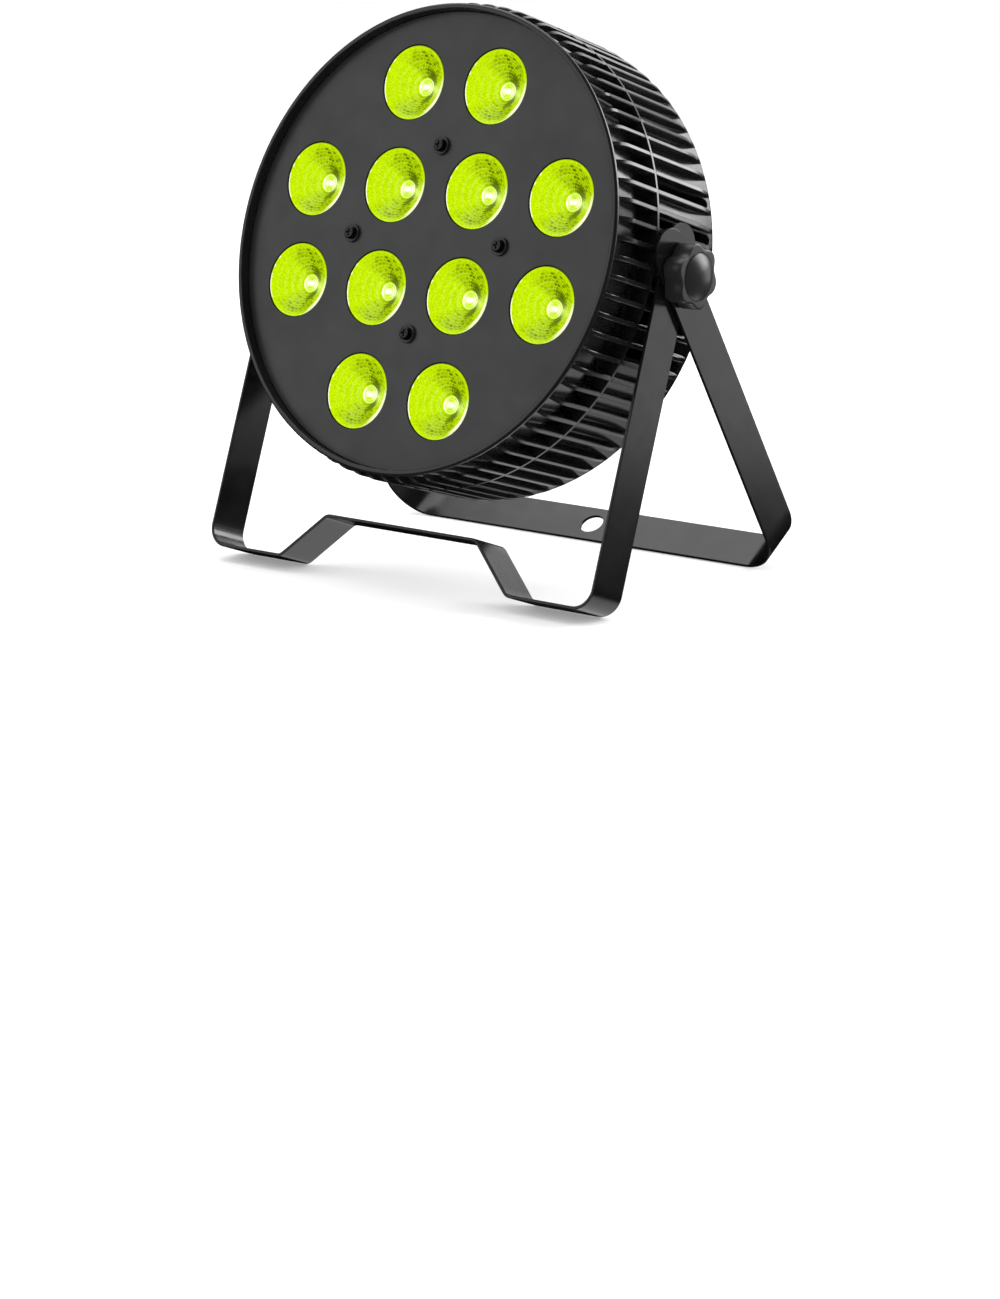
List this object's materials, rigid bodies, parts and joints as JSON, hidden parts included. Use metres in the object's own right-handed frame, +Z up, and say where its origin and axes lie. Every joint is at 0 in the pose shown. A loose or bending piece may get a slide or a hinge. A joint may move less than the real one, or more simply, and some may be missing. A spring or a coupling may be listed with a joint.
{
  "type": "par can light",
  "caption": "Flat LED par can on a folding double bracket: finned round housing, recessed face plate with round lenses, star knobs, rear sockets and menu.",
  "frame": {"origin": "on the floor under the middle of the whole object's box", "axes": "+Z up, -Y the way the lamp faces (tilted up 16.6 degrees), +X along the bracket pivot axis to the right-hand side of the lamp seen from the front"},
  "size_m": [0.263, 0.1739, 0.2671],
  "materials": {
    "bracket_paint": "satin black powder coat",
    "housing_paint": "semi-gloss black paint on cast aluminium",
    "panel_paint": "satin black paint",
    "face_paint": "semi-gloss black",
    "inner_plastic": "black moulding",
    "board_metal": "white solder mask on aluminium board",
    "emitter": "clear resin",
    "bare_aluminium": "milled",
    "fan_plastic": "black moulding",
    "circuit_board": "green solder mask",
    "display_plastic": "dark grey moulding",
    "window_plastic": "smoked window",
    "socket_plastic": "black moulding",
    "socket_metal": "black die casting",
    "contact_metal": "nickel plated",
    "latch_metal": "bare",
    "black_screw": "black oxide",
    "bushing": "black moulding",
    "insert_brass": "turned",
    "washer_nylon": "black nylon",
    "washer_steel": "zinc plated",
    "knob_plastic": "black moulding with fine grain",
    "stud_steel": "zinc plated",
    "lens": "moulded acrylic, lit from behind",
    "button_rubber": "matte"
  },
  "bodies": {
    "front_bracket": {"front_bracket": "bracket_paint", "strap_washers": "washer_nylon"},
    "rear_bracket": {"rear_bracket": "bracket_paint"},
    "head": {"front_housing": "housing_paint", "rear_housing": "housing_paint", "rear_panel": "panel_paint", "face_plate": "face_paint", "lens_tray": "inner_plastic", "lens_01": "lens", "lens_02": "lens", "lens_03": "lens", "lens_04": "lens", "lens_05": "lens", "lens_06": "lens", "lens_07": "lens", "lens_08": "lens", "lens_09": "lens", "lens_10": "lens", "lens_11": "lens", "lens_12": "lens", "led_board": "board_metal", "led_emitters": "emitter", "heat_sink": "bare_aluminium", "fan_frame": "fan_plastic", "power_supply_board": "circuit_board", "control_board": "circuit_board", "display_module": "display_plastic", "display_window": "window_plastic", "power_inlet": "socket_plastic", "power_inlet_blades": "contact_metal", "power_outlet": "socket_plastic", "dmx_in_socket": "socket_metal", "dmx_in_pins": "contact_metal", "dmx_out_socket": "socket_metal", "safety_eye": "panel_paint", "face_screws": "black_screw", "face_bushings": "bushing", "housing_screws": "black_screw", "panel_screws": "black_screw", "socket_screws": "black_screw", "pivot_inserts": "insert_brass", "pivot_washers": "washer_nylon"},
    "fan_rotor": {"fan_rotor": "fan_plastic"},
    "dmx_out_latch": {"dmx_out_latch": "latch_metal"},
    "menu_button_1": {"menu_button_1": "button_rubber"},
    "menu_button_2": {"menu_button_2": "button_rubber"},
    "menu_button_3": {"menu_button_3": "button_rubber"},
    "menu_button_4": {"menu_button_4": "button_rubber"},
    "knob_washer_right": {"knob_washer_right": "washer_steel"},
    "knob_right": {"knob_right": "knob_plastic", "knob_stud_right": "stud_steel"},
    "knob_washer_left": {"knob_washer_left": "washer_steel"},
    "knob_left": {"knob_left": "knob_plastic", "knob_stud_left": "stud_steel"}
  },
  "joints": [
    {"name": "head_tilt", "type": "hinge", "parent": "front_bracket", "child": "head", "pos_m": [0, -0.0155, 0.15], "axis": [1, 0, 0], "continuous": true},
    {"name": "rear_bracket_fold", "type": "hinge", "parent": "front_bracket", "child": "rear_bracket", "pos_m": [0, -0.0155, 0.15], "axis": [1, 0, 0], "continuous": true},
    {"name": "fan_spin", "type": "hinge", "parent": "head", "child": "fan_rotor", "pos_m": [0, 0.02398, 0.13823], "axis": [0, 0.9583, -0.2857], "continuous": true},
    {"name": "dmx_out_latch_press", "type": "slide", "parent": "head", "child": "dmx_out_latch", "axis": [0, -0.9583, 0.2857], "range_m": [0, 0.0015], "stiffness_N_per_m": 400, "springref_m": -0.002},
    {"name": "menu_button_1_press", "type": "slide", "parent": "head", "child": "menu_button_1", "axis": [0, -0.9583, 0.2857], "range_m": [0, 0.001], "stiffness_N_per_m": 400, "springref_m": -0.001},
    {"name": "menu_button_2_press", "type": "slide", "parent": "head", "child": "menu_button_2", "axis": [0, -0.9583, 0.2857], "range_m": [0, 0.001], "stiffness_N_per_m": 400, "springref_m": -0.001},
    {"name": "menu_button_3_press", "type": "slide", "parent": "head", "child": "menu_button_3", "axis": [0, -0.9583, 0.2857], "range_m": [0, 0.001], "stiffness_N_per_m": 400, "springref_m": -0.001},
    {"name": "menu_button_4_press", "type": "slide", "parent": "head", "child": "menu_button_4", "axis": [0, -0.9583, 0.2857], "range_m": [0, 0.001], "stiffness_N_per_m": 400, "springref_m": -0.001},
    {"name": "knob_right_travel", "type": "slide", "parent": "head", "child": "knob_washer_right", "axis": [1, 0, 0], "range_m": [0, 0.0025]},
    {"name": "knob_right_turn", "type": "hinge", "parent": "knob_washer_right", "child": "knob_right", "pos_m": [0.1235, -0.0155, 0.15], "axis": [1, 0, 0], "range_deg": [0, 720]},
    {"name": "knob_left_travel", "type": "slide", "parent": "head", "child": "knob_washer_left", "axis": [-1, 0, 0], "range_m": [0, 0.0025]},
    {"name": "knob_left_turn", "type": "hinge", "parent": "knob_washer_left", "child": "knob_left", "pos_m": [-0.1235, -0.0155, 0.15], "axis": [-1, 0, 0], "range_deg": [0, 720]}
  ],
  "couplings": [
    {"joint": "knob_right_turn", "follows": "knob_right_travel", "rad_per_m": 5026.5},
    {"joint": "knob_left_turn", "follows": "knob_left_travel", "rad_per_m": 5026.5}
  ]
}
